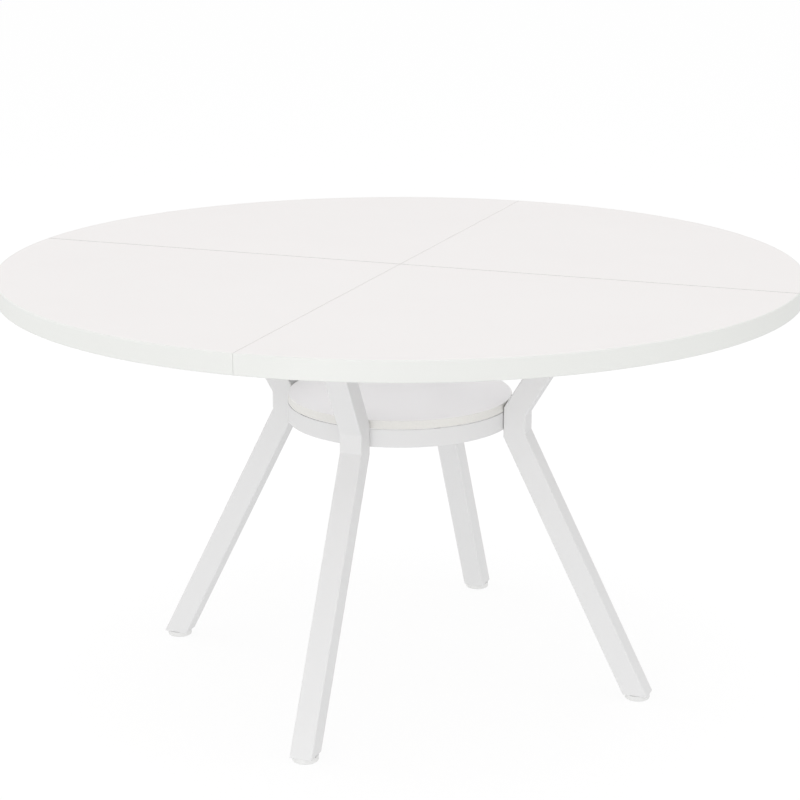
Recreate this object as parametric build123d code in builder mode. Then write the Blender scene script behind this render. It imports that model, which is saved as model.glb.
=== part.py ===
from build123d import *
from math import acos, asin, cos, pi, radians, sin, sqrt, tan
import os

# Extendable round dining table. Units are millimetres, +Z is up.
# The two seams of the top lie on the X and Y axes, the four legs stand under them.
# Every quarter of the top slides 212.1 outward along its own diagonal.

os.makedirs("parts", exist_ok=True)

# Overall sizes
table_height = 750.0
top_radius = 700.0
top_thickness = 34.0
edge_band_thickness = 2.0
edge_band_round = 1.5
seam_gap = 0.4
seam_ease = 0.5

# Legs: square steel tube, kinked twice
leg_tube = 40.0
leg_wall = 2.0
leg_corner = 2.5
leg_inner_radius = 199.5
leg_inner_kink_low = 460.0
leg_inner_kink_high = 513.0
leg_low_angle = 26.7
leg_high_angle = 31.0
leg_bottom = 10.0
leg_bolt_bite = 12.0
flange_bottom = 636.0
flange_thickness = 5.0
flange_reach = 100.0
flange_tail = 32.0
flange_notch = 45.0

# Levelling feet
foot_radius = 22.0
foot_height = 9.7
foot_round = 3.0
stud_radius = 4.0
stud_top = 34.0
stud_chamfer = 1.0
stud_play = 0.08
plug_height = 26.0
plug_play = 0.1
plug_corner = 1.5

# Shelf between the legs
band_outer_radius = 199.5
band_thickness = 3.0
band_bottom = 473.0
band_top = 504.0
tab_thickness = 3.0
tab_lift = 1.0
tab_width = 30.0
tab_depth = 28.0
tab_inside_band = 0.5
tab_screw_inset = 4.0
shelf_radius = 199.0
shelf_thickness = 15.0
shelf_edge_round = 1.0
shelf_screw_bite = 10.0
ring_bolt_length = 16.0

# Welded square frame of 30 x 30 tube under the top
frame_tube = 30.0
frame_wall = 2.0
frame_corner = 2.0
frame_screw_bite = 10.0
frame_bottom = flange_bottom + flange_thickness
frame_top = frame_bottom + frame_tube

# Slide channels and the runners inside them
channel_height = 20.0
channel_wall = 2.0
channel_floor = 2.5
channel_lip = 4.0
channel_lip_thickness = 2.5
track_width = 20.0
channel_length = 600.0
channel_offset = 120.0
level_step = 22.0
runner_play = 0.3
runner_neck = 11.0
runner_inner_end = -240.0
runner_outer_end = 400.0
pad_inner_end = 170.0
spacer_width = 24.0
runner_neck_clear = 1.5
runner_end_chamfer = 2.0
runner_screw_distances = (190.0, 290.0, 385.0)

# Rack and pinion that keeps the four quarters in step
gear_module = 3.0
pinion_teeth = 16
pressure_angle = 20.0
gear_addendum = 2.4
gear_dedendum = 3.3
gear_play = 0.3
rack_thickness = 12.0
rack_back = 38.0
rack_inner_end = -236.0
rack_outer_end = 280.0
rack_block_start = 220.0
rack_clear_above_plate = 1.0
rack_block_side = 24.0
rack_screw_distances = (235.0, 265.0)
rack_teeth_inward = 25
rack_teeth_outward = 3
tooth_overlap = 0.01
pinion_rise = 1.0
gear_plate_thickness = 4.0
gear_plate_length = 120.0
gear_plate_width = 110.0
gear_plate_corner = 6.0
guide_length = 24.0
guide_thickness = 8.0
axle_radius = 6.0
axle_play = 0.05
axle_overhang = 4.0
bush_radius = 9.0
bush_flange_radius = 14.0
bush_flange_thickness = 1.5

# Lock screw under the gear plate
lock_position = (-31.0, 35.0)
lock_boss_radius = 10.0
lock_boss_height = 12.0
knob_radius = 18.0
knob_height = 18.0
knob_top = 638.0
knob_round = 3.0
knob_scallops = 8
scallop_radius = 5.0
scallop_outset = 3.0
lock_stud_seat = 1.0

# Pins that line the quarters up across the seams
pin_radius = 5.0
pin_play = 0.3
pin_seat = 12.0
pin_reach = 20.0
pin_chamfer = 2.0
socket_depth = 24.0
pin_distances = (150.0, 350.0, 550.0)

# Fasteners
screw_radius = 2.5
screw_head_radius = 4.5
screw_head_height = 4.0
screw_bite = 18.0
screw_head_drop = 0.5
small_screw_radius = 2.0
small_head_radius = 4.0
small_head_height = 2.0
bolt_radius = 3.0
bolt_head_radius = 5.5
bolt_head_height = 4.0
hex_key = 4.0
hex_depth = 2.5

# Heights that follow from the sizes above
top_underside = table_height - top_thickness
board_radius = top_radius - edge_band_thickness
half_gap = seam_gap / 2
lower_channel_bottom = frame_top
upper_channel_bottom = frame_top + level_step
gear_plate_top = frame_top + gear_plate_thickness
rack_bottom = gear_plate_top + rack_clear_above_plate + level_step
pitch_radius = gear_module * pinion_teeth / 2
tooth_pitch = pi * gear_module
tooth_width = tooth_pitch / 2 - gear_play
track_shift = (track_width + channel_wall) / 2

# Centre line of one leg, as (distance from the middle of the table, height)
leg_axis_radius = leg_inner_radius + leg_tube / 2
low_kink = leg_inner_kink_low + leg_tube / 2 * tan(radians(leg_low_angle / 2))
high_kink = leg_inner_kink_high - leg_tube / 2 * tan(radians(leg_high_angle / 2))
low_slope = tan(radians(leg_low_angle))
high_slope = tan(radians(leg_high_angle))
foot_axis_radius = leg_axis_radius + (low_kink - leg_bottom) * low_slope
leg_top_radius = leg_axis_radius + (flange_bottom - high_kink) * high_slope
frame_half = leg_top_radius / sqrt(2)

quarters = {"back_right": 0, "back_left": 1, "front_left": 2, "front_right": 3}
legs = {"right": 0, "back": 1, "left": 2, "front": 3}


def save(piece, name):
    piece.label = name
    export_step(piece, f"parts/{name}.step")


def to_quarter(piece, turn):
    # Pieces of a quarter are drawn sliding along +X, then turned to their diagonal.
    # The two odd quarters run one level lower.
    return piece.rotate(Axis.Z, 45 + 90 * turn)


def one_level_down(piece, turn):
    return piece.moved(Location((0, 0, -level_step * (turn % 2))))


# ---------------------------------------------------------------- top quarters
seam_direction = Vector(cos(radians(45)), sin(radians(45)), 0)
pin_height = top_underside + top_thickness / 2
pin_face = Plane(
    origin=(0, 0, pin_height),
    x_dir=(seam_direction.X, seam_direction.Y, 0),
    z_dir=(-seam_direction.Y, seam_direction.X, 0),
)
socket_face = Plane(
    origin=(0, 0, pin_height),
    x_dir=(seam_direction.X, -seam_direction.Y, 0),
    z_dir=(-seam_direction.Y, -seam_direction.X, 0),
)
pin_places = [(distance, 0) for distance in pin_distances]

runner_offsets = (channel_offset + track_shift, track_shift - channel_offset)
runner_screw_places = [
    (along, offset) for along in runner_screw_distances for offset in runner_offsets
]
rack_block_centre = (rack_block_side + rack_back) / 2
rack_screw_places = [(along, rack_block_centre) for along in rack_screw_distances]
quarter_screw_places = runner_screw_places + rack_screw_places

arc_angle = radians(45) - asin(half_gap / board_radius)
arc_end = (board_radius * cos(arc_angle), board_radius * sin(arc_angle))
arc_start = (arc_end[0], -arc_end[1])
apex = (half_gap * sqrt(2), 0)

with BuildPart() as top_quarter:
    with BuildSketch(Plane.XY.offset(top_underside)):
        with BuildLine():
            Line(apex, arc_start)
            ThreePointArc(arc_start, (board_radius, 0), arc_end)
            Line(arc_end, apex)
        make_face()
    extrude(amount=top_thickness)
    straight_edges = top_quarter.edges().filter_by(GeomType.LINE)
    chamfer(straight_edges.group_by(Axis.Z)[-1], length=seam_ease)
    straight_edges = top_quarter.edges().filter_by(GeomType.LINE)
    chamfer(straight_edges.group_by(Axis.Z)[0], length=seam_ease)
    # Seats for the quarter's own pins and sockets for its neighbour's pins
    with BuildSketch(pin_face.offset(-half_gap - pin_seat)):
        with Locations(*pin_places):
            Circle(pin_radius)
    extrude(amount=pin_seat, mode=Mode.SUBTRACT)
    with BuildSketch(socket_face.offset(-half_gap - socket_depth)):
        with Locations(*pin_places):
            Circle(pin_radius + pin_play)
    extrude(amount=socket_depth, mode=Mode.SUBTRACT)
    # Pilot holes for the runner and rack screws
    with BuildSketch(Plane.XY.offset(top_underside)):
        with Locations(*quarter_screw_places):
            Circle(screw_radius)
    extrude(amount=screw_bite, mode=Mode.SUBTRACT)

# Edge band glued round the curved edge of a quarter
band_angle = radians(45) - asin(half_gap / top_radius)
with BuildPart() as edge_band:
    with BuildSketch(Plane.XY.offset(top_underside)):
        with BuildLine():
            outer_end = (top_radius * cos(band_angle), top_radius * sin(band_angle))
            outer_start = (outer_end[0], -outer_end[1])
            ThreePointArc(arc_start, (board_radius, 0), arc_end)
            Line(arc_end, outer_end)
            ThreePointArc(outer_end, (top_radius, 0), outer_start)
            Line(outer_start, arc_start)
        make_face()
    extrude(amount=top_thickness)
    rim_edges = edge_band.edges().filter_by(GeomType.CIRCLE).group_by(SortBy.LENGTH)[-1]
    fillet(rim_edges, radius=edge_band_round)

with BuildPart() as seam_pins:
    with BuildSketch(pin_face.offset(-half_gap - pin_seat)):
        with Locations(*pin_places):
            Circle(pin_radius)
    extrude(amount=half_gap + pin_seat + pin_reach)
    pin_ends = seam_pins.faces().sort_by(Axis(pin_face.origin, pin_face.z_dir))[-3:]
    chamfer(pin_ends.edges(), length=pin_chamfer)

# ---------------------------------------------------------------- runners
channel_inside = channel_height - channel_floor - channel_lip_thickness
runner_head_width = track_width - 2 * runner_play
runner_head_bottom = upper_channel_bottom + channel_floor + runner_play
runner_head_height = channel_inside - 2 * runner_play
runner_neck_top = top_underside - runner_neck_clear


def make_runner(offset):
    with BuildPart() as runner:
        with BuildSketch(Plane.XY.offset(runner_head_bottom)):
            with Locations(((runner_inner_end + runner_outer_end) / 2, offset)):
                Rectangle(runner_outer_end - runner_inner_end, runner_head_width)
        extrude(amount=runner_head_height)
        with BuildSketch(Plane.XY.offset(runner_head_bottom)):
            with Locations(((runner_inner_end + runner_outer_end) / 2, offset)):
                Rectangle(runner_outer_end - runner_inner_end, runner_neck)
        extrude(amount=runner_neck_top - runner_head_bottom)
        with BuildSketch(Plane.XY.offset(runner_head_bottom)):
            with Locations(((pad_inner_end + runner_outer_end) / 2, offset)):
                Rectangle(runner_outer_end - pad_inner_end, runner_neck)
        extrude(amount=top_underside - runner_head_bottom)
        end_edges = runner.edges().filter_by(Axis.Y).group_by(Axis.Z)[0]
        chamfer(end_edges, length=runner_end_chamfer)
        places = [spot for spot in runner_screw_places if spot[1] == offset]
        with BuildSketch(Plane.XY.offset(runner_head_bottom)):
            with Locations(*places):
                Circle(screw_radius)
        extrude(amount=top_underside - runner_head_bottom, mode=Mode.SUBTRACT)
        with BuildSketch(Plane.XY.offset(runner_head_bottom)):
            with Locations(*places):
                Circle(screw_head_radius)
        extrude(amount=screw_head_height, mode=Mode.SUBTRACT)
    return runner.part


runner_left = make_runner(runner_offsets[0])
runner_right = make_runner(runner_offsets[1])

# ---------------------------------------------------------------- racks
tip_half = tooth_width / 2 - gear_addendum * tan(radians(pressure_angle))
root_half = tooth_width / 2 + gear_dedendum * tan(radians(pressure_angle))
rack_root = pitch_radius + gear_dedendum
rack_tip = pitch_radius - gear_addendum
tooth_centres = [
    tooth_pitch * (index + 1 / 2) for index in range(-rack_teeth_inward, rack_teeth_outward)
]

with BuildPart() as rack:
    with BuildSketch(Plane.XY.offset(rack_bottom)):
        with Locations(((rack_inner_end + rack_outer_end) / 2, (rack_root + rack_back) / 2)):
            Rectangle(rack_outer_end - rack_inner_end, rack_back - rack_root)
        with Locations(*[(centre, 0) for centre in tooth_centres]):
            Polygon(
                (-root_half, rack_root + tooth_overlap),
                (-tip_half, rack_tip),
                (tip_half, rack_tip),
                (root_half, rack_root + tooth_overlap),
                align=None,
            )
    extrude(amount=rack_thickness)
    with BuildSketch(Plane.XY.offset(rack_bottom)):
        with Locations(((rack_block_start + rack_outer_end) / 2, rack_block_centre)):
            Rectangle(rack_outer_end - rack_block_start, rack_back - rack_block_side)
    extrude(amount=top_underside - rack_bottom)
    with BuildSketch(Plane.XY.offset(rack_bottom)):
        with Locations(*rack_screw_places):
            Circle(screw_radius)
    extrude(amount=top_underside - rack_bottom, mode=Mode.SUBTRACT)
    with BuildSketch(Plane.XY.offset(rack_bottom)):
        with Locations(*rack_screw_places):
            Circle(screw_head_radius)
    extrude(amount=screw_head_height, mode=Mode.SUBTRACT)

# ---------------------------------------------------------------- spacers of the odd quarters
with BuildPart() as runner_spacers:
    with BuildSketch(Plane.XY.offset(top_underside - level_step)):
        for runner_offset in runner_offsets:
            with Locations(((pad_inner_end + runner_outer_end) / 2, runner_offset)):
                Rectangle(runner_outer_end - pad_inner_end, spacer_width)
        with Locations(((rack_block_start + rack_outer_end) / 2, rack_block_centre)):
            Rectangle(rack_outer_end - rack_block_start, rack_back - rack_block_side)
        with Locations(*quarter_screw_places):
            Circle(screw_radius, mode=Mode.SUBTRACT)
    extrude(amount=level_step)


def make_quarter_screws(drop):
    with BuildPart() as screws:
        for places, seat in (
            (runner_screw_places, runner_head_bottom),
            (rack_screw_places, rack_bottom),
        ):
            with BuildSketch(Plane.XY.offset(seat - drop + screw_head_drop)):
                with Locations(*places):
                    Circle(screw_head_radius)
            extrude(amount=screw_head_height - screw_head_drop)
            with BuildSketch(Plane.XY.offset(seat - drop + screw_head_height)):
                with Locations(*places):
                    Circle(screw_radius)
            extrude(amount=top_underside + screw_bite - seat + drop - screw_head_height)
            with BuildSketch(Plane.XY.offset(seat - drop + screw_head_drop)):
                with Locations(*places):
                    RegularPolygon(hex_key / 2, 6)
            extrude(amount=hex_depth, mode=Mode.SUBTRACT)
    return screws.part


for quarter, turn in quarters.items():
    save(to_quarter(top_quarter.part, turn), f"top_quarter_{quarter}")
    save(to_quarter(edge_band.part, turn), f"edge_band_{quarter}")
    save(to_quarter(seam_pins.part, turn), f"seam_pins_{quarter}")
    save(to_quarter(one_level_down(runner_left, turn), turn), f"runner_left_{quarter}")
    save(to_quarter(one_level_down(runner_right, turn), turn), f"runner_right_{quarter}")
    save(to_quarter(one_level_down(rack.part, turn), turn), f"rack_{quarter}")
    screws = make_quarter_screws(level_step * (turn % 2))
    save(to_quarter(screws, turn), f"runner_screws_{quarter}")
    if turn % 2 == 1:
        save(to_quarter(runner_spacers.part, turn), f"runner_spacers_{quarter}")

# ---------------------------------------------------------------- frame
tube_length = 2 * frame_half + frame_tube
beam_length = 2 * frame_half - frame_tube
channel_screw_places = [
    (frame_half * side, channel_offset * row + track_shift * track)
    for side in (-1, 1)
    for row in (-1, 1)
    for track in (-1, 1)
]
flange_bolt_steps = (48.0, 82.0)
gear_plate_screw_places = [(-53.0, 0.0), (53.0, 0.0)]


def make_frame_tube(level_places, turn):
    with BuildPart() as tube:
        with BuildSketch(Plane.YZ.offset(-tube_length / 2)):
            with Locations((frame_half, frame_bottom + frame_tube / 2)):
                RectangleRounded(frame_tube, frame_tube, frame_corner)
                Rectangle(frame_tube - 2 * frame_wall, frame_tube - 2 * frame_wall, mode=Mode.SUBTRACT)
        extrude(amount=tube_length)
        # Mitred ends
        for side in (-1, 1):
            mitre = Plane(origin=(side * frame_half, frame_half, 0), z_dir=(side, -1, 0))
            split(bisect_by=mitre, keep=Keep.BOTTOM)
        with BuildSketch(Plane.XY.offset(frame_top - frame_wall)):
            with Locations(*level_places):
                Circle(small_screw_radius)
        extrude(amount=frame_wall, mode=Mode.SUBTRACT)
        with BuildSketch(Plane.XY.offset(frame_bottom)):
            for side in (-1, 1):
                for step in flange_bolt_steps:
                    with Locations((side * (frame_half - step), frame_half)):
                        Circle(bolt_radius)
        extrude(amount=frame_wall, mode=Mode.SUBTRACT)
    return tube.part.rotate(Axis.Z, 45 + 90 * turn)


# Each tube lies on the side of the frame that faces the quarter it is named after.
across_places = [
    (channel_offset * row + track_shift * track, frame_half)
    for row in (-1, 1)
    for track in (-1, 1)
]
for quarter, turn in quarters.items():
    save(make_frame_tube(across_places, turn - 1), f"frame_tube_{quarter}")

with BuildPart() as centre_beam:
    with BuildSketch(Plane.YZ.offset(-beam_length / 2)):
        with Locations((0, frame_bottom + frame_tube / 2)):
            RectangleRounded(frame_tube, frame_tube, frame_corner)
            Rectangle(frame_tube - 2 * frame_wall, frame_tube - 2 * frame_wall, mode=Mode.SUBTRACT)
    extrude(amount=beam_length)
    with BuildSketch(Plane.XY.offset(frame_bottom)):
        Circle(bush_radius)
    extrude(amount=frame_tube, mode=Mode.SUBTRACT)
    with BuildSketch(Plane.XY.offset(frame_top - frame_wall)):
        with Locations(*gear_plate_screw_places):
            Circle(small_screw_radius)
    extrude(amount=frame_wall, mode=Mode.SUBTRACT)
save(centre_beam.part.rotate(Axis.Z, 45), "centre_beam")


def make_channel(offset, bottom):
    outer = 2 * track_width + 3 * channel_wall
    with BuildPart() as channel:
        with BuildSketch(Plane.YZ.offset(-channel_length / 2)):
            with Locations((offset, bottom + channel_height / 2)):
                Rectangle(outer, channel_height)
            for track in (-1, 1):
                with Locations((offset + track * track_shift, bottom + channel_floor + channel_inside / 2)):
                    Rectangle(track_width, channel_inside, mode=Mode.SUBTRACT)
                with Locations((offset + track * track_shift, bottom + channel_height)):
                    Rectangle(
                        track_width - 2 * channel_lip,
                        2 * channel_lip_thickness + 1,
                        mode=Mode.SUBTRACT,
                    )
        extrude(amount=channel_length)
        places = [spot for spot in channel_screw_places if spot[1] * offset > 0]
        with Locations(*[(spot[0], spot[1], bottom + channel_floor) for spot in places]):
            CounterSinkHole(small_screw_radius, small_head_radius, depth=channel_floor)
    return channel.part


channel_names = (
    ("channel_upper_back_left", channel_offset, upper_channel_bottom, 45),
    ("channel_upper_front_right", -channel_offset, upper_channel_bottom, 45),
    ("channel_lower_front_left", channel_offset, lower_channel_bottom, 135),
    ("channel_lower_back_right", -channel_offset, lower_channel_bottom, 135),
)
for name, offset, bottom, angle in channel_names:
    save(make_channel(offset, bottom).rotate(Axis.Z, angle), name)

# Blocks that lift the upper channels clear of the lower ones
channel_outer = 2 * track_width + 3 * channel_wall
with BuildPart() as channel_spacers:
    with BuildSketch(Plane.XY.offset(frame_top)):
        with GridLocations(2 * frame_half, 2 * channel_offset, 2, 2):
            Rectangle(frame_tube, channel_outer)
        with Locations(*channel_screw_places):
            Circle(small_screw_radius, mode=Mode.SUBTRACT)
    extrude(amount=level_step)
save(channel_spacers.part.rotate(Axis.Z, 45), "channel_spacers")

# Gear plate on the centre beam, with the guides that hold the racks in mesh
guide_centre = rack_back + runner_play + guide_thickness / 2
with BuildPart() as gear_plate:
    with BuildSketch(Plane.XY.offset(frame_top)):
        RectangleRounded(gear_plate_length, gear_plate_width, gear_plate_corner)
    extrude(amount=gear_plate_thickness)
    with BuildSketch(Plane.XY.offset(gear_plate_top)):
        with Locations((0, guide_centre), (0, -guide_centre)):
            Rectangle(guide_length, guide_thickness)
    extrude(amount=rack_bottom + rack_thickness - gear_plate_top)
    with BuildSketch(Plane.XY.offset(gear_plate_top)):
        with Locations((guide_centre, 0), (-guide_centre, 0)):
            Rectangle(guide_thickness, guide_length)
    extrude(amount=rack_bottom - level_step + rack_thickness - gear_plate_top)
    # Threaded boss of the lock screw
    with BuildSketch(Plane.XY.offset(frame_top - lock_boss_height)):
        with Locations(lock_position):
            Circle(lock_boss_radius)
    extrude(amount=lock_boss_height)
    with BuildSketch(Plane.XY.offset(frame_top - lock_boss_height)):
        with Locations(lock_position):
            Circle(stud_radius + stud_play)
    extrude(amount=lock_boss_height + gear_plate_thickness, mode=Mode.SUBTRACT)
    with BuildSketch(Plane.XY.offset(frame_top)):
        Circle(bush_radius)
    extrude(amount=gear_plate_thickness, mode=Mode.SUBTRACT)
    with Locations(*[(spot[0], spot[1], gear_plate_top) for spot in gear_plate_screw_places]):
        CounterSinkHole(small_screw_radius, small_head_radius, depth=gear_plate_thickness)
save(gear_plate.part.rotate(Axis.Z, 45), "gear_plate")

# Flat-head screws of the channels and the gear plate
cone_height = (small_head_radius - small_screw_radius) / tan(radians(41))
screw_end = frame_top - frame_screw_bite
with BuildPart() as frame_screws:
    for angle, floor in (
        (45, upper_channel_bottom + channel_floor),
        (135, lower_channel_bottom + channel_floor),
    ):
        turned = Plane.XY.offset(floor).rotated((0, 0, angle))
        with Locations(turned):
            with Locations(*channel_screw_places):
                Cylinder(
                    small_screw_radius,
                    floor - screw_end,
                    align=(Align.CENTER, Align.CENTER, Align.MAX),
                )
                Cone(
                    small_screw_radius,
                    small_head_radius,
                    cone_height,
                    align=(Align.CENTER, Align.CENTER, Align.MAX),
                )
    with Locations(Plane.XY.offset(gear_plate_top).rotated((0, 0, 45))):
        with Locations(*gear_plate_screw_places):
            Cylinder(
                small_screw_radius,
                gear_plate_top - screw_end,
                align=(Align.CENTER, Align.CENTER, Align.MAX),
            )
            Cone(
                small_screw_radius,
                small_head_radius,
                cone_height,
                align=(Align.CENTER, Align.CENTER, Align.MAX),
            )
save(frame_screws.part, "frame_screws")

# Flanged bush that carries the pinion axle
with BuildPart() as pinion_bush:
    with BuildSketch(Plane.XY.offset(frame_bottom)):
        Circle(bush_radius)
    extrude(amount=gear_plate_top - frame_bottom)
    with BuildSketch(Plane.XY.offset(frame_bottom - bush_flange_thickness)):
        Circle(bush_flange_radius)
    extrude(amount=bush_flange_thickness)
    with BuildSketch(Plane.XY.offset(frame_bottom - bush_flange_thickness)):
        Circle(axle_radius + axle_play)
    extrude(amount=gear_plate_top - frame_bottom + bush_flange_thickness, mode=Mode.SUBTRACT)
save(pinion_bush.part, "pinion_bush")


# ---------------------------------------------------------------- pinion
def flank_angle(radius, base_radius):
    # Angle between the middle of a tooth and its involute flank at this radius
    at_pitch = radians(pressure_angle)
    here = acos(base_radius / radius)
    return tooth_width / 2 / pitch_radius + tan(at_pitch) - at_pitch - tan(here) + here


pinion_root = pitch_radius - gear_dedendum
pinion_tip = pitch_radius + gear_addendum
base_radius = pitch_radius * cos(radians(pressure_angle))
flank_steps = 6
flank = []
for step in range(flank_steps + 1):
    radius = base_radius + (pinion_tip - base_radius) * step / flank_steps
    angle = flank_angle(radius, base_radius)
    flank.append((radius * cos(angle), radius * sin(angle)))
root_angle = flank_angle(base_radius, base_radius)
root_point = ((pinion_root - 1) * cos(root_angle), (pinion_root - 1) * sin(root_angle))
mirrored_flank = [(point[0], -point[1]) for point in flank]
mirrored_root = (root_point[0], -root_point[1])
pinion_bottom = gear_plate_top + runner_play
pinion_top = rack_bottom + rack_thickness + pinion_rise

with BuildPart() as pinion:
    with BuildSketch(Plane.XY.offset(pinion_bottom)):
        Circle(pinion_root)
        with BuildSketch(Plane.XY, mode=Mode.PRIVATE) as tooth:
            with BuildLine():
                Line(mirrored_root, mirrored_flank[0])
                Spline(*mirrored_flank)
                ThreePointArc(mirrored_flank[-1], (pinion_tip, 0), flank[-1])
                Spline(*reversed(flank))
                Line(flank[0], root_point)
                Line(root_point, mirrored_root)
            make_face()
        with PolarLocations(0, pinion_teeth):
            add(tooth.sketch)
    extrude(amount=pinion_top - pinion_bottom)
    with BuildSketch(Plane.XY.offset(frame_bottom - axle_overhang)):
        Circle(axle_radius)
    extrude(amount=pinion_bottom - frame_bottom + axle_overhang)
save(pinion.part.rotate(Axis.Z, 45), "pinion")

# Lock screw with its round knob; it presses on a lower rack from below
lock_point = Vector(*lock_position).rotate(Axis.Z, 45)
lock_tip = rack_bottom - level_step - runner_play
with BuildPart() as lock_knob:
    with BuildSketch(Plane.XY.offset(knob_top - knob_height)):
        with Locations((lock_point.X, lock_point.Y)):
            Circle(knob_radius)
    extrude(amount=knob_height)
    fillet(lock_knob.edges(), radius=knob_round)
    with BuildSketch(Plane.XY.offset(knob_top - knob_height)):
        with Locations((lock_point.X, lock_point.Y)):
            with PolarLocations(knob_radius + scallop_outset, knob_scallops):
                Circle(scallop_radius)
    extrude(amount=knob_height, mode=Mode.SUBTRACT)
    with BuildSketch(Plane.XY.offset(knob_top - lock_stud_seat)):
        with Locations((lock_point.X, lock_point.Y)):
            Circle(stud_radius)
    extrude(amount=lock_tip - knob_top + lock_stud_seat)
save(lock_knob.part, "lock_knob")

# ---------------------------------------------------------------- legs
below_floor = -30.0
above_flange = flange_bottom + 40.0
leg_path_points = [
    (leg_axis_radius + (low_kink - below_floor) * low_slope, below_floor),
    (leg_axis_radius, low_kink),
    (leg_axis_radius, high_kink),
    (leg_axis_radius + (above_flange - high_kink) * high_slope, above_flange),
]
ring_bolt_spread = 10.0
ring_bolt_height = (band_bottom + band_top) / 2
# Flange bolts, measured from the leg top along and across the leg's own direction
flange_bolts = [
    (-step / sqrt(2), side * step / sqrt(2)) for step in flange_bolt_steps for side in (-1, 1)
]
outer_reach = (flange_reach - frame_tube / 2) / sqrt(2)
inner_reach = (flange_reach + frame_tube / 2) / sqrt(2)

with BuildPart() as leg:
    with BuildLine(Plane.XZ) as leg_path:
        Polyline(*leg_path_points)
    with BuildSketch(Plane(origin=leg_path.line @ 0, x_dir=(0, 1, 0), z_dir=leg_path.line % 0)):
        RectangleRounded(leg_tube, leg_tube, leg_corner)
        RectangleRounded(
            leg_tube - 2 * leg_wall,
            leg_tube - 2 * leg_wall,
            leg_corner - leg_wall,
            mode=Mode.SUBTRACT,
        )
    sweep(path=leg_path.line, transition=Transition.RIGHT)
    split(bisect_by=Plane.XY.offset(leg_bottom), keep=Keep.TOP)
    split(bisect_by=Plane.XY.offset(flange_bottom), keep=Keep.BOTTOM)
    # Welded flange that bolts under the corner of the frame
    with BuildSketch(Plane.XY.offset(flange_bottom)):
        with Locations((leg_top_radius, 0)):
            Polygon(
                (flange_tail, -flange_tail),
                (flange_tail, flange_tail),
                (-outer_reach, inner_reach),
                (-inner_reach, outer_reach),
                (-flange_notch, frame_tube / 2),
                (-flange_notch, -frame_tube / 2),
                (-inner_reach, -outer_reach),
                (-outer_reach, -inner_reach),
                align=None,
            )
            with Locations(*flange_bolts):
                Circle(bolt_radius, mode=Mode.SUBTRACT)
    extrude(amount=flange_thickness)
    # Holes for the shelf band bolts in the inner wall
    with BuildSketch(Plane.YZ.offset(leg_inner_radius - 1)):
        with Locations((-ring_bolt_spread, ring_bolt_height), (ring_bolt_spread, ring_bolt_height)):
            Circle(bolt_radius)
    extrude(amount=leg_wall + 1, mode=Mode.SUBTRACT)

# Plug in the open foot of a leg, sheared to follow the tube
plug_depth = (leg_tube - 2 * leg_wall) / cos(radians(leg_low_angle)) - plug_play * 2
plug_run = -plug_height * low_slope
with BuildPart() as leg_plug:
    with BuildSketch(Plane.XY.offset(leg_bottom)):
        with Locations((foot_axis_radius, 0)):
            RectangleRounded(plug_depth, leg_tube - 2 * leg_wall - plug_play * 2, plug_corner)
    extrude(
        amount=sqrt(plug_height**2 + plug_run**2),
        dir=(plug_run, 0, plug_height),
    )
    with BuildSketch(Plane.XY.offset(leg_bottom)):
        with Locations((foot_axis_radius, 0)):
            Circle(stud_radius + stud_play)
    extrude(amount=plug_height, mode=Mode.SUBTRACT)

with BuildPart() as levelling_foot:
    with BuildSketch():
        with Locations((foot_axis_radius, 0)):
            Circle(foot_radius)
    extrude(amount=foot_height)
    fillet(levelling_foot.edges().group_by(Axis.Z)[0], radius=foot_round)
    with BuildSketch():
        with Locations((foot_axis_radius, 0)):
            Circle(stud_radius)
    extrude(amount=stud_top)
    chamfer(levelling_foot.edges().group_by(Axis.Z)[-1], length=stud_chamfer)

for name, turn in legs.items():
    save(leg.part.rotate(Axis.Z, 90 * turn), f"leg_{name}")
    save(levelling_foot.part.rotate(Axis.Z, 90 * turn), f"levelling_foot_{name}")

plugs = Compound(children=[leg_plug.part.rotate(Axis.Z, 90 * turn) for turn in legs.values()])
save(plugs, "leg_plugs")

with BuildPart() as leg_bolts:
    for turn in legs.values():
        with Locations(Plane.XY.offset(flange_bottom).rotated((0, 0, 90 * turn))):
            with Locations((leg_top_radius, 0)):
                with Locations(*flange_bolts):
                    Cylinder(
                        bolt_radius,
                        flange_thickness + leg_bolt_bite,
                        align=(Align.CENTER, Align.CENTER, Align.MIN),
                    )
                    Cylinder(
                        bolt_head_radius,
                        bolt_head_height,
                        align=(Align.CENTER, Align.CENTER, Align.MAX),
                    )
    hex_face = Plane.XY.offset(flange_bottom - bolt_head_height)
    with BuildSketch(hex_face):
        for turn in legs.values():
            with Locations(Location((0, 0, 0), (0, 0, 90 * turn))):
                with Locations((leg_top_radius, 0)):
                    with Locations(*flange_bolts):
                        RegularPolygon(hex_key / 2, 6)
    extrude(amount=hex_depth, mode=Mode.SUBTRACT)
save(leg_bolts.part, "leg_bolts")

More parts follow.
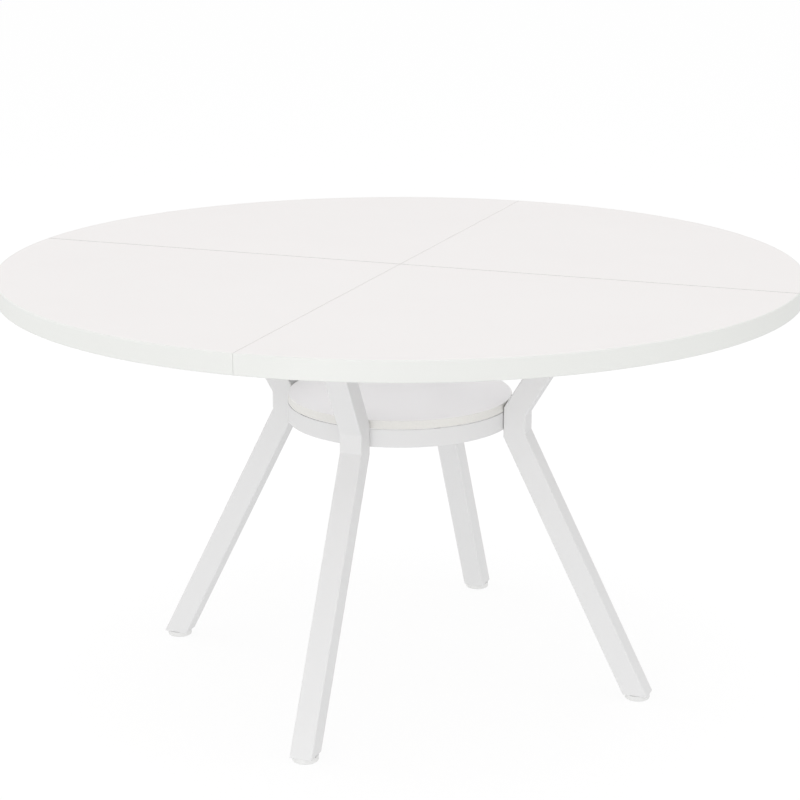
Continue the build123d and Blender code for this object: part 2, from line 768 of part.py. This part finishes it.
# ---------------------------------------------------------------- shelf
tab_top = band_top + tab_lift
tab_middle = band_outer_radius - band_thickness / 2 - tab_depth / 2
tab_screw_radius_place = tab_middle - tab_screw_inset
with BuildPart() as shelf_ring:
    with BuildSketch(Plane.XY.offset(band_bottom)):
        Circle(band_outer_radius)
        Circle(band_outer_radius - band_thickness, mode=Mode.SUBTRACT)
    extrude(amount=band_top - band_bottom)
    with BuildSketch(Plane.XY.offset(tab_top - tab_thickness)):
        with PolarLocations(tab_middle, 4, start_angle=45):
            Rectangle(tab_depth, tab_width)
        Circle(band_outer_radius - tab_inside_band, mode=Mode.INTERSECT)
        with PolarLocations(tab_screw_radius_place, 4, start_angle=45):
            Circle(small_screw_radius, mode=Mode.SUBTRACT)
    extrude(amount=tab_thickness)
    for turn in legs.values():
        with BuildSketch(Plane.YZ.rotated((0, 0, 90 * turn)).offset(band_outer_radius - band_thickness - 1)):
            with Locations((-ring_bolt_spread, ring_bolt_height), (ring_bolt_spread, ring_bolt_height)):
                Circle(bolt_radius)
        extrude(amount=band_thickness + 1, mode=Mode.SUBTRACT)
save(shelf_ring.part, "shelf_ring")

with BuildPart() as shelf_board:
    with BuildSketch(Plane.XY.offset(tab_top)):
        Circle(shelf_radius)
    extrude(amount=shelf_thickness)
    fillet(shelf_board.edges(), radius=shelf_edge_round)
    with BuildSketch(Plane.XY.offset(tab_top)):
        with PolarLocations(tab_screw_radius_place, 4, start_angle=45):
            Circle(small_screw_radius)
    extrude(amount=shelf_screw_bite, mode=Mode.SUBTRACT)
save(shelf_board.part, "shelf_board")

with BuildPart() as shelf_screws:
    with BuildSketch(Plane.XY.offset(tab_top - tab_thickness)):
        with PolarLocations(tab_screw_radius_place, 4, start_angle=45):
            Circle(small_screw_radius)
    extrude(amount=tab_thickness + shelf_screw_bite)
    with BuildSketch(Plane.XY.offset(tab_top - tab_thickness)):
        with PolarLocations(tab_screw_radius_place, 4, start_angle=45):
            Circle(small_head_radius)
    extrude(amount=-small_head_height)
save(shelf_screws.part, "shelf_screws")

# Bolts that hold the band between the legs; heads on the inside
band_inner_radius = band_outer_radius - band_thickness
head_seat = sqrt(band_inner_radius**2 - (ring_bolt_spread + bolt_head_radius) ** 2)
with BuildPart() as ring_bolts:
    for turn in legs.values():
        across = Plane.YZ.rotated((0, 0, 90 * turn)).offset(head_seat)
        with Locations(across):
            with Locations((-ring_bolt_spread, ring_bolt_height), (ring_bolt_spread, ring_bolt_height)):
                Cylinder(
                    bolt_radius,
                    ring_bolt_length,
                    align=(Align.CENTER, Align.CENTER, Align.MIN),
                )
                Cylinder(
                    bolt_head_radius,
                    bolt_head_height,
                    align=(Align.CENTER, Align.CENTER, Align.MAX),
                )
        with BuildSketch(across.offset(-bolt_head_height)):
            with Locations((-ring_bolt_spread, ring_bolt_height), (ring_bolt_spread, ring_bolt_height)):
                RegularPolygon(hex_key / 2, 6)
        extrude(amount=hex_depth, mode=Mode.SUBTRACT)
save(ring_bolts.part, "ring_bolts")
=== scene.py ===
import bmesh
import bpy
import math
from mathutils import Matrix, Vector


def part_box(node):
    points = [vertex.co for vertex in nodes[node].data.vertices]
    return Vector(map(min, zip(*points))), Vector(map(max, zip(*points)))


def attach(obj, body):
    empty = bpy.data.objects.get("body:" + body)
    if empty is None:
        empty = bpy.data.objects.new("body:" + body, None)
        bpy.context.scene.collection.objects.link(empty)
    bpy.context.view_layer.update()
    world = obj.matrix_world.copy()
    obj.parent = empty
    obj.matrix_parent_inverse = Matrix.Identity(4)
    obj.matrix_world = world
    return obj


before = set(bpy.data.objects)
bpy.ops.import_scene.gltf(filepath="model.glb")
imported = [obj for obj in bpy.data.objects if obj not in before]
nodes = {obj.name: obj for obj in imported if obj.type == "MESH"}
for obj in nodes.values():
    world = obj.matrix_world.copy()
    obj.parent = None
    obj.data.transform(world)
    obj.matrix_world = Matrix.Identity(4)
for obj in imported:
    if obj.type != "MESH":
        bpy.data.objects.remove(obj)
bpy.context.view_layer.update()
print("frame loaded:", len(nodes), "nodes")


def toLinear(hexColour):
    # sRGB hex to the linear values that the shaders take
    channels = []
    for start in (1, 3, 5):
        value = int(hexColour[start:start + 2], 16) / 255
        channels.append(value / 12.92 if value <= 0.04045 else ((value + 0.055) / 1.055) ** 2.4)
    return (*channels, 1.0)


def addNode(tree, kind, settings=None, links=None):
    # settings are properties or input values by name, links are input name to output socket
    node = tree.nodes.new(kind)
    for name, value in (settings or {}).items():
        if isinstance(name, int) or name in node.inputs:
            node.inputs[name].default_value = value
        else:
            setattr(node, name, value)
    for name, socket in (links or {}).items():
        tree.links.new(socket, node.inputs[name])
    return node


def startMaterial(name):
    material = bpy.data.materials.new(name)
    material.use_nodes = True
    material.node_tree.nodes.clear()
    return material, material.node_tree


def finishMaterial(material, tree, shader):
    output = tree.nodes.new("ShaderNodeOutputMaterial")
    tree.links.new(shader.outputs[0], output.inputs["Surface"])
    return material


# where the values of a noise texture mostly lie, spread over the range of a finish
noiseSpread = {"From Min": 0.3, "From Max": 0.7}


def mottledPlastic(name, look):
    # a moulded or coated surface: fine bump, patchy gloss, a breath of colour change
    material, tree = startMaterial(name)
    coords = addNode(tree, "ShaderNodeTexCoord").outputs["Object"]
    fine = addNode(
        tree, "ShaderNodeTexNoise", {"Scale": 1000 / look["fineMm"], "Detail": 3.0}, {"Vector": coords},
    )
    cloud = addNode(
        tree, "ShaderNodeTexNoise", {"Scale": 1000 / look["cloudMm"], "Detail": 2.0}, {"Vector": coords},
    )
    colour = addNode(
        tree, "ShaderNodeMix",
        {"data_type": "RGBA", 6: toLinear(look["colour"]), 7: toLinear(look["shadeColour"])},
        {0: cloud.outputs["Fac"]},
    )
    rough = addNode(
        tree, "ShaderNodeMapRange",
        {**noiseSpread, "To Min": look["roughness"][0], "To Max": look["roughness"][1]},
        {"Value": cloud.outputs["Fac"]},
    )
    bump = addNode(
        tree, "ShaderNodeBump", {"Distance": look["depthMm"] / 1000}, {"Height": fine.outputs["Fac"]},
    )
    shader = addNode(
        tree, "ShaderNodeBsdfPrincipled", {"IOR": look["ior"]},
        {"Base Color": colour.outputs[2], "Roughness": rough.outputs[0], "Normal": bump.outputs[0]},
    )
    return finishMaterial(material, tree, shader)


def laminatedBoard(name, look):
    # laminate on the flat faces; the sides in an edge band's own colour, or the eased edges in painted
    # shade standing for seam gaps
    material, tree = startMaterial(name)
    coords = addNode(tree, "ShaderNodeTexCoord").outputs["Object"]
    cloud = addNode(
        tree, "ShaderNodeTexNoise", {"Scale": 1000 / look["cloudMm"], "Detail": 2.0}, {"Vector": coords},
    )
    pearl = addNode(
        tree, "ShaderNodeTexNoise", {"Scale": 1000 / look["pearlMm"], "Detail": 3.0}, {"Vector": coords},
    )
    speckle = addNode(tree, "ShaderNodeTexVoronoi", {"Scale": 1000 / look["speckleMm"]}, {"Vector": coords})
    faceWay = addNode(tree, "ShaderNodeNewGeometry").outputs["True Normal"]
    seamWay = addNode(
        tree, "ShaderNodeVectorMath", {"operation": "MULTIPLY", 1: look["sideShare"]}, {0: faceWay},
    )
    seamShare = addNode(tree, "ShaderNodeVectorMath", {"operation": "LENGTH"}, {0: seamWay.outputs[0]})
    showsEdgeAndSeamShade = seamShare.outputs[1]
    if look["easedOnly"]:    # only the slanting faces of an eased edge, neither the top nor the side
        level = addNode(tree, "ShaderNodeSeparateXYZ", None, {0: faceWay}).outputs["Z"]
        tilt = addNode(tree, "ShaderNodeMath", {"operation": "ABSOLUTE"}, {0: level})
        both = addNode(
            tree, "ShaderNodeMath", {"operation": "MULTIPLY"}, {0: showsEdgeAndSeamShade, 1: tilt.outputs[0]},
        )
        showsEdgeAndSeamShade = addNode(    # doubled, so that a face at 45 degrees shows the painted seam shade in full
            tree, "ShaderNodeMath",
            {"operation": "MULTIPLY", "use_clamp": True, 1: 2.0}, {0: both.outputs[0]},
        ).outputs[0]
    laminate = addNode(
        tree, "ShaderNodeMix",
        {"data_type": "RGBA", 6: toLinear(look["colour"]), 7: toLinear(look["shadeColour"])},
        {0: cloud.outputs["Fac"]},
    )
    # on the top's quarters this tone is painted shade for the seam gaps; on the shelf it is the edge band's
    # own white
    board = addNode(
        tree, "ShaderNodeMix",
        {"data_type": "RGBA", 6: toLinear(look["edgeAndSeamShadeColour"]), 7: toLinear(look["speckleColour"])},
        {0: speckle.outputs["Distance"]},
    )
    colour = addNode(
        tree, "ShaderNodeMix", {"data_type": "RGBA"},
        {0: showsEdgeAndSeamShade, 6: laminate.outputs[2], 7: board.outputs[2]},
    )
    rough = addNode(
        tree, "ShaderNodeMapRange",
        {**noiseSpread, "To Min": look["roughness"][0], "To Max": look["roughness"][1]},
        {"Value": cloud.outputs["Fac"]},
    )
    bump = addNode(
        tree, "ShaderNodeBump", {"Distance": look["depthMm"] / 1000}, {"Height": pearl.outputs["Fac"]},
    )
    shader = addNode(
        tree, "ShaderNodeBsdfPrincipled", {"IOR": 1.5},
        {"Base Color": colour.outputs[2], "Roughness": rough.outputs[0], "Normal": bump.outputs[0]},
    )
    return finishMaterial(material, tree, shader)


def brushedMetal(name, look):
    # drawn or extruded metal: fine lines along the piece, turned to its own direction
    material, tree = startMaterial(name)
    coords = addNode(tree, "ShaderNodeTexCoord").outputs["Object"]
    turned = addNode(
        tree, "ShaderNodeMapping",
        {"Rotation": (0, 0, -math.radians(look["angle"])), "Scale": look["stretch"]},
        {"Vector": coords},
    )
    lines = addNode(
        tree, "ShaderNodeTexNoise",
        {"Scale": 1000 / look["lineMm"], "Detail": 4.0}, {"Vector": turned.outputs[0]},
    )
    colour = addNode(
        tree, "ShaderNodeMix",
        {"data_type": "RGBA", 6: toLinear(look["colour"]), 7: toLinear(look["shadeColour"])},
        {0: lines.outputs["Fac"]},
    )
    rough = addNode(
        tree, "ShaderNodeMapRange",
        {**noiseSpread, "To Min": look["roughness"][0], "To Max": look["roughness"][1]},
        {"Value": lines.outputs["Fac"]},
    )
    bump = addNode(
        tree, "ShaderNodeBump", {"Distance": look["depthMm"] / 1000}, {"Height": lines.outputs["Fac"]},
    )
    shader = addNode(
        tree, "ShaderNodeBsdfPrincipled", {"Metallic": 1.0},
        {"Base Color": colour.outputs[2], "Roughness": rough.outputs[0], "Normal": bump.outputs[0]},
    )
    return finishMaterial(material, tree, shader)


def planedWood(name, look):
    # straight-grained wood with short darker flecks along the grain
    material, tree = startMaterial(name)
    coords = addNode(tree, "ShaderNodeTexCoord").outputs["Object"]
    turned = addNode(
        tree, "ShaderNodeMapping",
        {"Rotation": (0, 0, -math.radians(look["angle"])), "Scale": look["stretch"]},
        {"Vector": coords},
    )
    grain = addNode(
        tree, "ShaderNodeTexNoise",
        {"Scale": 1000 / look["grainMm"], "Detail": 5.0, "Distortion": 0.4}, {"Vector": turned.outputs[0]},
    )
    flecks = addNode(
        tree, "ShaderNodeTexVoronoi",
        {"Scale": 1000 / look["fleckMm"]}, {"Vector": turned.outputs[0]},
    )
    body = addNode(
        tree, "ShaderNodeMix",
        {"data_type": "RGBA", 6: toLinear(look["colour"]), 7: toLinear(look["grainColour"])},
        {0: grain.outputs["Fac"]},
    )
    fleckMask = addNode(
        tree, "ShaderNodeMapRange",
        {"From Min": 0.0, "From Max": look["fleckWidth"], "To Min": look["fleckShare"], "To Max": 0.0},
        {"Value": flecks.outputs["Distance"]},
    )
    colour = addNode(
        tree, "ShaderNodeMix", {"data_type": "RGBA", 7: toLinear(look["fleckColour"])},
        {0: fleckMask.outputs[0], 6: body.outputs[2]},
    )
    bump = addNode(
        tree, "ShaderNodeBump", {"Distance": look["depthMm"] / 1000}, {"Height": grain.outputs["Fac"]},
    )
    shader = addNode(
        tree, "ShaderNodeBsdfPrincipled", {"Roughness": look["roughness"], "IOR": look["ior"]},
        {"Base Color": colour.outputs[2], "Normal": bump.outputs[0]},
    )
    return finishMaterial(material, tree, shader)


# melamine laminate pressed on board: even and satin, its pearl texture drawn coarser than the real
# one so that it shows; the eased edges along the seams are painted grey as shade standing for the
# seam gaps, so that the closed seams read as fine lines
laminatedQuarter = laminatedBoard("laminateWithPaintedSeamShade", {
    "colour": "#EAE7E6", "shadeColour": "#E8E5E4", "roughness": (0.40, 0.48), "cloudMm": 260.0,
    # the grey here is painted shade for the seam gaps, with lighter specks in it
    "pearlMm": 2.5, "depthMm": 0.015, "edgeAndSeamShadeColour": "#7B7873", "speckleColour": "#8E8A84", "speckleMm": 4.0,
    "sideShare": (0.28, 1.0, 0.0),    # the eased edges along Y get less of the painted seam shade
    "easedOnly": True,
})
# the shelf board: laminate a shade cooler than the top's, its round edge banded in a warmer white
laminatedShelf = laminatedBoard("laminatedBandedShelf", {
    "colour": "#EAE9EA", "shadeColour": "#E8E7E8", "roughness": (0.40, 0.48), "cloudMm": 160.0,
    "pearlMm": 2.5, "depthMm": 0.006, "edgeAndSeamShadeColour": "#E3E2DE", "speckleColour": "#E0DFDB", "speckleMm": 4.0,
    "sideShare": (1.0, 1.0, 0.0),
    "easedOnly": False,
})
# ABS edge banding: extruded, with faint slow waves, a little softer in gloss than the laminate
whiteEdging = mottledPlastic("whiteAbsEdging", {
    "colour": "#E3E4E1", "shadeColour": "#E1E2DF", "roughness": (0.42, 0.52), "ior": 1.53,
    "fineMm": 5.0, "depthMm": 0.008, "cloudMm": 120.0,
})
# baked polyester powder coat on steel: satin with orange peel
whitePowderCoat = mottledPlastic("whitePowderCoatedSteel", {
    "colour": "#E5E5E5", "shadeColour": "#E2E2E2", "roughness": (0.38, 0.50), "ior": 1.5,
    "fineMm": 3.0, "depthMm": 0.03, "cloudMm": 90.0,
})
# moulded nylon foot: matte, close to the tone of the powder coat
whiteNylon = mottledPlastic("whiteMouldedNylon", {
    "colour": "#E8E8E7", "shadeColour": "#E3E3E2", "roughness": (0.50, 0.62), "ior": 1.53,
    "fineMm": 1.5, "depthMm": 0.03, "cloudMm": 18.0,
})
# moulded nylon plug: matte light grey, seen only in the open end of a leg
greyNylon = mottledPlastic("greyMouldedNylon", {
    "colour": "#C9C9C8", "shadeColour": "#BEBEBD", "roughness": (0.50, 0.62), "ior": 1.53,
    "fineMm": 1.5, "depthMm": 0.03, "cloudMm": 18.0,
})
# nylon bush turned from unpigmented rod: milky straw colour, a little shinier
naturalNylon = mottledPlastic("naturalNylonBush", {
    "colour": "#D8D3C4", "shadeColour": "#CFC9B8", "roughness": (0.45, 0.55), "ior": 1.53,
    "fineMm": 1.2, "depthMm": 0.02, "cloudMm": 10.0,
})
# machined acetal: milky white, waxy, faint tool marks
whiteAcetal = mottledPlastic("whiteMachinedAcetal", {
    "colour": "#E2E1DC", "shadeColour": "#D8D7D1", "roughness": (0.30, 0.45), "ior": 1.48,
    "fineMm": 1.0, "depthMm": 0.03, "cloudMm": 12.0,
})
# moulded nylon knob: black, matte, finely sparked
blackNylon = mottledPlastic("blackMouldedNylon", {
    "colour": "#161617", "shadeColour": "#202022", "roughness": (0.48, 0.62), "ior": 1.53,
    "fineMm": 0.9, "depthMm": 0.05, "cloudMm": 9.0,
})
# clear anodised aluminium extrusion, die lines along its length
anodisedAlong = brushedMetal("clearAnodisedAluminium", {
    "colour": "#C9CBCE", "shadeColour": "#B6B9BD", "roughness": (0.30, 0.42), "lineMm": 1.6,
    "depthMm": 0.02, "angle": 45.0, "stretch": (0.02, 1.0, 1.0),
})
anodisedAcross = brushedMetal("clearAnodisedAluminiumCross", {
    "colour": "#C9CBCE", "shadeColour": "#B6B9BD", "roughness": (0.30, 0.42), "lineMm": 1.6,
    "depthMm": 0.02, "angle": 135.0, "stretch": (0.02, 1.0, 1.0),
})
# bright zinc plating on steel fasteners
zincPlate = brushedMetal("brightZincPlate", {
    "colour": "#C4C8CC", "shadeColour": "#A9AEB4", "roughness": (0.26, 0.40), "lineMm": 1.2,
    "depthMm": 0.01, "angle": 0.0, "stretch": (1.0, 1.0, 1.0),
})
# planed beech, left raw: pinkish tan, dull, with short darker rays along the grain
planedBeech = planedWood("planedBeechCross", {
    "colour": "#D2AE82", "grainColour": "#BE9468", "fleckColour": "#9C7248", "grainMm": 6.0, "fleckMm": 3.0,
    "fleckWidth": 0.25, "fleckShare": 0.5, "depthMm": 0.05, "roughness": 0.62, "ior": 1.5,
    "angle": 135.0, "stretch": (0.06, 1.0, 1.0),
})
print("finishes made")

upperQuarters = ("back_right", "front_left")
fasteners = ("frame_screws", "leg_bolts", "ring_bolts", "shelf_screws")


def finishFor(name):
    upper = name.endswith(upperQuarters)
    if name.startswith("top_quarter"):
        return laminatedQuarter
    if name == "shelf_board":
        return laminatedShelf
    if name.startswith("edge_band"):
        return whiteEdging
    if name in fasteners or name.startswith(("seam_pins", "runner_screws")):
        return zincPlate
    if name.startswith("channel_upper"):
        return anodisedAlong
    if name.startswith("channel_lower"):
        return anodisedAcross
    if name.startswith(("channel_spacers", "runner_spacers")):
        return planedBeech
    if name.startswith("runner_"):
        return anodisedAlong if upper else anodisedAcross
    if name.startswith("rack_") or name == "pinion":
        return whiteAcetal
    if name == "pinion_bush":
        return naturalNylon
    if name == "lock_knob":
        return blackNylon
    if name == "leg_plugs":
        return greyNylon
    if name.startswith("levelling_foot"):
        return whiteNylon
    return whitePowderCoat


for name, node in nodes.items():
    finish = finishFor(name)
    node.data.materials.clear()
    node.data.materials.append(finish)
    for face in node.data.polygons:
        face.material_index = 0
print("finishes on the CAD nodes")

# weld beads on the steelwork, which the CAD nodes leave out
weldLook = {
    "beadMm": 2.6,        # half the width of a bead
    "rippleMm": 2.2,      # spacing of the ripples left by the torch
    "rippleDepth": 0.16,
    "ringPoints": 10,
    "stepsPerRipple": 3,
    "taper": 0.45,        # how far a bead thins where it starts and stops
    "taperSlope": 6.0,    # how soon it is back at full width
}


def layBead(bm, start, end, look):
    # a ring pulled along the joint, swelling and pinching with each ripple
    run = Vector(end) - Vector(start)
    ripples = max(2, round(run.length * 1000 / look["rippleMm"]))
    steps = ripples * look["stepsPerRipple"]
    radius = look["beadMm"] / 1000

    def beadWidth(step):
        share = step / steps
        swell = 1 - look["rippleDepth"] * abs(math.sin(math.pi * share * ripples))
        ends = min(1.0, look["taper"] + look["taperSlope"] * min(share, 1 - share))
        return radius * swell * ends

    place = Matrix.Translation(start) @ run.to_track_quat("Z", "Y").to_matrix().to_4x4()
    ring = bmesh.ops.create_circle(
        bm, cap_ends=True, segments=look["ringPoints"], radius=beadWidth(0), matrix=place,
    )["verts"]
    edges = list({edge for vert in ring for edge in vert.link_edges})
    for step in range(1, steps + 1):
        pulled = bmesh.ops.extrude_edge_only(bm, edges=edges)["geom"]
        ring = [item for item in pulled if isinstance(item, bmesh.types.BMVert)]
        edges = [item for item in pulled if isinstance(item, bmesh.types.BMEdge)]
        bmesh.ops.translate(bm, verts=ring, vec=run / steps)
        centre = Vector(start) + run * step / steps
        grow = beadWidth(step) / beadWidth(step - 1)
        bmesh.ops.scale(bm, verts=ring, vec=(grow,) * 3, space=Matrix.Translation(-centre))
    bmesh.ops.contextual_create(bm, geom=edges)


def meshObject(name, bm, material):
    mesh = bpy.data.meshes.new(name)
    bm.to_mesh(mesh)
    bm.free()
    mesh.materials.append(material)
    made = bpy.data.objects.new(name, mesh)
    bpy.context.scene.collection.objects.link(made)
    return made


def newPiece(name, bm, material, body):
    bmesh.ops.recalc_face_normals(bm, faces=bm.faces)
    piece = meshObject(name, bm, material)
    for face in piece.data.polygons:
        face.use_smooth = True
    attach(piece, body)


steelwork = {
    "legHalfWidth": 0.020,
    "legLeanDegrees": 31.0,
    "legCorner": 0.0025,
    "frameHalfTube": 0.015,
    "flangeThickness": 0.005,
    "flangeBeadDrop": 0.0005,    # a bead's middle lies just under the flange
    "mitreBeadSink": 0.0015,     # and just inside the frame's outer corner
    "mitreBeadGap": 0.003,       # a mitre's bead stops short of the tube's upper and lower faces
}
frameLow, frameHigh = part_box("frame_tube_back_right")
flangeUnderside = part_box("leg_right")[1].z - steelwork["flangeThickness"]
halfDiagonal = steelwork["frameHalfTube"] * math.sqrt(2)
cornerReach = frameHigh.x                       # outer mitre of the frame, over a leg
legReach = cornerReach - halfDiagonal
innerCorner = legReach - halfDiagonal
halfDepth = steelwork["legHalfWidth"] / math.cos(math.radians(steelwork["legLeanDegrees"]))
halfWidth = steelwork["legHalfWidth"]
flatHalf = halfWidth - steelwork["legCorner"]
inner, outer = legReach - halfDepth, legReach + halfDepth
beadLevel = flangeUnderside - steelwork["flangeBeadDrop"]
mitreLow, mitreHigh = frameLow.z + steelwork["mitreBeadGap"], frameHigh.z - steelwork["mitreBeadGap"]

legWelds = bmesh.new()
frameWelds = bmesh.new()
for quarterTurn in range(4):
    turned = Matrix.Rotation(math.radians(90 * quarterTurn), 4, "Z")
    for start, end in (    # round the leg, a bead for each of its four walls
        ((inner, -flatHalf, beadLevel), (inner, flatHalf, beadLevel)),
        ((outer, -flatHalf, beadLevel), (outer, flatHalf, beadLevel)),
        ((inner, -halfWidth, beadLevel), (outer, -halfWidth, beadLevel)),
        ((inner, halfWidth, beadLevel), (outer, halfWidth, beadLevel)),
    ):
        layBead(legWelds, turned @ Vector(start), turned @ Vector(end), weldLook)
    for reach in (innerCorner, cornerReach - steelwork["mitreBeadSink"]):
        low = turned @ Vector((reach, 0, mitreLow))
        high = turned @ Vector((reach, 0, mitreHigh))
        layBead(frameWelds, low, high, weldLook)
newPiece("leg_flange_welds", legWelds, whitePowderCoat, "base")
newPiece("frame_corner_welds", frameWelds, whitePowderCoat, "base")
print("welds laid")

stageLook = {
    "floorSize": 80.0,
    "floorDrop": 0.0003,      # keeps the floor just clear of the feet
    "floorGlow": 0.838,       # evenly lit studio floor
    "floorShare": 0.18,       # what is left for contact shadows
    "skyStrength": 0.858,
    "bounceStrength": 0.83,   # light thrown back up by the floor
    "backdropRadius": 56.0,
    "backdropGlow": 1.0,
    "horizonBlend": 0.15,     # how softly the sky passes into the bounce
}
# name: power in W, size in m, place, aim
studioLights = {
    "overheadBank": (51.0, 5.0, (0.0, 0.0, 5.0), (0.0, 0.0, 0.5)),
    "leftBank": (24.5, 3.0, (-5.0, 0.0, 1.6), (0.0, 0.0, 0.5)),
    "rightBank": (21.0, 3.0, (5.0, 0.0, 1.6), (0.0, 0.0, 0.5)),
    "frontLeftBank": (7.0, 2.5, (-3.5, -3.5, 3.0), (0.0, 0.0, 0.5)),
    "frontRightBank": (7.0, 2.5, (3.5, -3.5, 1.6), (0.0, 0.0, 0.5)),
    "lowFrontBank": (43.0, 2.0, (0.0, -5.0, 0.55), (0.0, 0.0, 0.55)),
    "shelfFill": (0.46, 0.50, (0.0, 0.0, 0.632), (0.0, 0.0, 0.0)),
}

floorMaterial, tree = startMaterial("paleStudioFloor")
glow = addNode(tree, "ShaderNodeEmission", {"Color": (1, 1, 1, 1), "Strength": stageLook["floorGlow"]})
matt = addNode(tree, "ShaderNodeBsdfDiffuse", {"Color": (stageLook["floorShare"],) * 3 + (1,)})
both = addNode(tree, "ShaderNodeAddShader", None, {0: glow.outputs[0], 1: matt.outputs[0]})
clear = addNode(tree, "ShaderNodeBsdfTransparent")
underside = addNode(tree, "ShaderNodeNewGeometry").outputs["Backfacing"]
oneSided = addNode(    # the table can be looked at from below, through the floor
    tree, "ShaderNodeMixShader", None, {0: underside, 1: both.outputs[0], 2: clear.outputs[0]},
)
finishMaterial(floorMaterial, tree, oneSided)
bm = bmesh.new()
bmesh.ops.create_grid(bm, x_segments=1, y_segments=1, size=stageLook["floorSize"] / 2)
bmesh.ops.translate(bm, verts=bm.verts, vec=(0, 0, -stageLook["floorDrop"]))
floor = meshObject("floor", bm, floorMaterial)

backdropMaterial, tree = startMaterial("whiteCyclorama")
glow = addNode(tree, "ShaderNodeEmission", {"Color": (1, 1, 1, 1), "Strength": stageLook["backdropGlow"]})
finishMaterial(backdropMaterial, tree, glow)
bm = bmesh.new()
bmesh.ops.create_icosphere(bm, subdivisions=3, radius=stageLook["backdropRadius"])
backdrop = meshObject("backdrop", bm, backdropMaterial)

for stagePiece in (floor, backdrop):    # the world gives the bounce, so these are only seen
    stagePiece.visible_diffuse = False
    stagePiece.visible_glossy = False
    stagePiece.visible_shadow = False

world = bpy.data.worlds.new("softStudio")
bpy.context.scene.world = world
world.use_nodes = True
worldTree = world.node_tree
worldTree.nodes["Background"].inputs["Color"].default_value = (1, 1, 1, 1)
skyWay = addNode(worldTree, "ShaderNodeTexCoord").outputs["Generated"]
skyParts = addNode(worldTree, "ShaderNodeSeparateXYZ", None, {0: skyWay})
skyShare = addNode(
    worldTree, "ShaderNodeMapRange",
    {
        "From Min": -stageLook["horizonBlend"], "From Max": stageLook["horizonBlend"],
        "To Min": stageLook["bounceStrength"], "To Max": stageLook["skyStrength"],
    },
    {"Value": skyParts.outputs["Z"]},
)
worldTree.links.new(skyShare.outputs[0], worldTree.nodes["Background"].inputs["Strength"])


def softLight(name, power, size, place, aim):
    data = bpy.data.lights.new(name, "AREA")
    data.shape = "SQUARE"
    data.size = size
    data.energy = power
    lamp = bpy.data.objects.new(name, data)
    bpy.context.scene.collection.objects.link(lamp)
    lamp.location = place
    lamp.rotation_euler = (Vector(aim) - Vector(place)).to_track_quat("-Z", "Y").to_euler()
    lamp.visible_camera = False
    return lamp


lamps = {name: softLight(name, *settings) for name, settings in studioLights.items()}
shelfOnly = bpy.data.collections.new("shelfOnly")    # the fill lights nothing but the shelf board
shelfOnly.objects.link(nodes["shelf_board"])
lamps["shelfFill"].light_linking.receiver_collection = shelfOnly

cameraSet = {
    "lensMm": 97.12,
    "sensorMm": 36.0,
    "distance": 3.713,    # along the floor, from the middle of the table
    "height": 1.499,
    "azimuth": 20.41,
    "pitch": 15.01,
}
cameraData = bpy.data.cameras.new("camera")
camera = bpy.data.objects.new("camera", cameraData)
bpy.context.scene.collection.objects.link(camera)
cameraData.lens = cameraSet["lensMm"]
cameraData.sensor_width = cameraSet["sensorMm"]
turn = math.radians(cameraSet["azimuth"])
camera.location = (
    cameraSet["distance"] * math.sin(turn),
    -cameraSet["distance"] * math.cos(turn),
    cameraSet["height"],
)
camera.rotation_euler = (math.radians(90 - cameraSet["pitch"]), 0, turn)
bpy.context.scene.camera = camera
bpy.context.scene.view_settings.view_transform = "Standard"
print("stage set")
